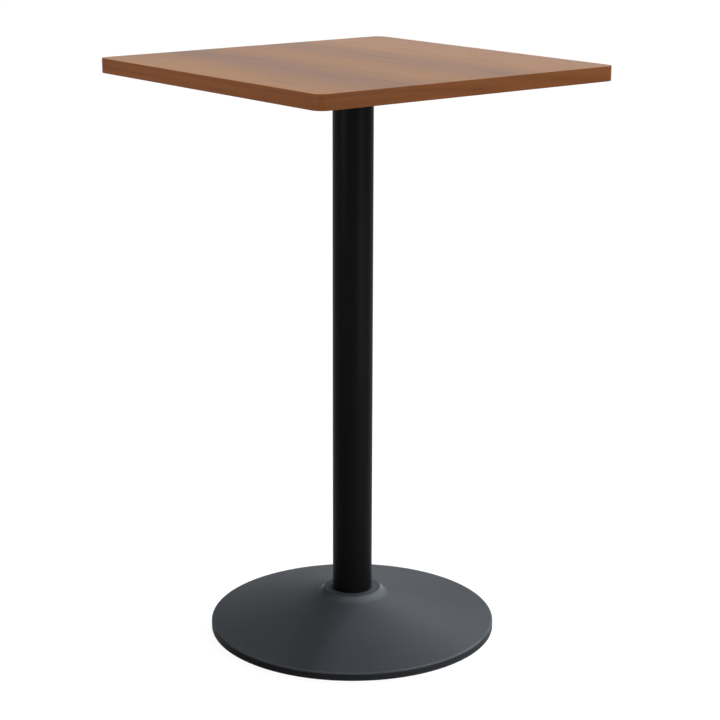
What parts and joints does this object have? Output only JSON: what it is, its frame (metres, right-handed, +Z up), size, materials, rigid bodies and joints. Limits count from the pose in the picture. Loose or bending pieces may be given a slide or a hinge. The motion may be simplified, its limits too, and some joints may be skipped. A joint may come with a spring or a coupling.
{
  "type": "pub table",
  "caption": "Bar-height pub table: square walnut-look top with rounded corners on a black column and a round cone-shaped cast base with levelling glides.",
  "frame": {"origin": "on the floor, on the column's axis, at the middle of the table's footprint", "axes": "+Z up along the column; X and Y along the sides of the square top; the grain of the top runs along X"},
  "size_m": [0.67, 0.67, 1.1],
  "materials": {
    "walnut_laminate": "satin walnut-look laminate with soft straight grain",
    "walnut_edge_band": "satin walnut-look edge band",
    "particle_board": "raw pressed board",
    "backing_sheet": "matt brown balancing sheet",
    "black_casting": "satin black powder coat, finely textured",
    "black_tube": "satin black powder coat, smooth",
    "zinc_steel": "bright zinc plate",
    "black_nylon": "moulded black nylon"
  },
  "bodies": {
    "table": {"top_laminate": "walnut_laminate", "edge_band": "walnut_edge_band", "top_core": "particle_board", "backer_sheet": "backing_sheet", "spider": "black_casting", "base_casting": "black_casting", "column_tube": "black_tube", "tie_rod": "zinc_steel", "upper_washer": "zinc_steel", "upper_nut": "zinc_steel", "lower_washer": "zinc_steel", "lower_lock_washer": "zinc_steel", "lower_nut": "zinc_steel", "top_screws": "zinc_steel"},
    "glide_foot_1": {"glide_foot_1": "black_nylon"},
    "glide_stem_1": {"glide_stem_1": "zinc_steel"},
    "glide_foot_2": {"glide_foot_2": "black_nylon"},
    "glide_stem_2": {"glide_stem_2": "zinc_steel"},
    "glide_foot_3": {"glide_foot_3": "black_nylon"},
    "glide_stem_3": {"glide_stem_3": "zinc_steel"},
    "glide_foot_4": {"glide_foot_4": "black_nylon"},
    "glide_stem_4": {"glide_stem_4": "zinc_steel"}
  },
  "joints": [
    {"name": "glide_1_lift", "type": "slide", "parent": "table", "child": "glide_foot_1", "axis": [0, 0, -1], "range_m": [0, 0.008]},
    {"name": "glide_1_turn", "type": "hinge", "parent": "glide_foot_1", "child": "glide_stem_1", "pos_m": [0.22, 0, 0.005], "axis": [0, 0, -1], "range_deg": [0, 2304]},
    {"name": "glide_2_lift", "type": "slide", "parent": "table", "child": "glide_foot_2", "axis": [0, 0, -1], "range_m": [0, 0.008]},
    {"name": "glide_2_turn", "type": "hinge", "parent": "glide_foot_2", "child": "glide_stem_2", "pos_m": [0, 0.22, 0.005], "axis": [0, 0, -1], "range_deg": [0, 2304]},
    {"name": "glide_3_lift", "type": "slide", "parent": "table", "child": "glide_foot_3", "axis": [0, 0, -1], "range_m": [0, 0.008]},
    {"name": "glide_3_turn", "type": "hinge", "parent": "glide_foot_3", "child": "glide_stem_3", "pos_m": [-0.22, 0, 0.005], "axis": [0, 0, -1], "range_deg": [0, 2304]},
    {"name": "glide_4_lift", "type": "slide", "parent": "table", "child": "glide_foot_4", "axis": [0, 0, -1], "range_m": [0, 0.008]},
    {"name": "glide_4_turn", "type": "hinge", "parent": "glide_foot_4", "child": "glide_stem_4", "pos_m": [0, -0.22, 0.005], "axis": [0, 0, -1], "range_deg": [0, 2304]}
  ],
  "couplings": [
    {"joint": "glide_1_turn", "follows": "glide_1_lift", "rad_per_m": 5026.5},
    {"joint": "glide_2_turn", "follows": "glide_2_lift", "rad_per_m": 5026.5},
    {"joint": "glide_3_turn", "follows": "glide_3_lift", "rad_per_m": 5026.5},
    {"joint": "glide_4_turn", "follows": "glide_4_lift", "rad_per_m": 5026.5}
  ]
}
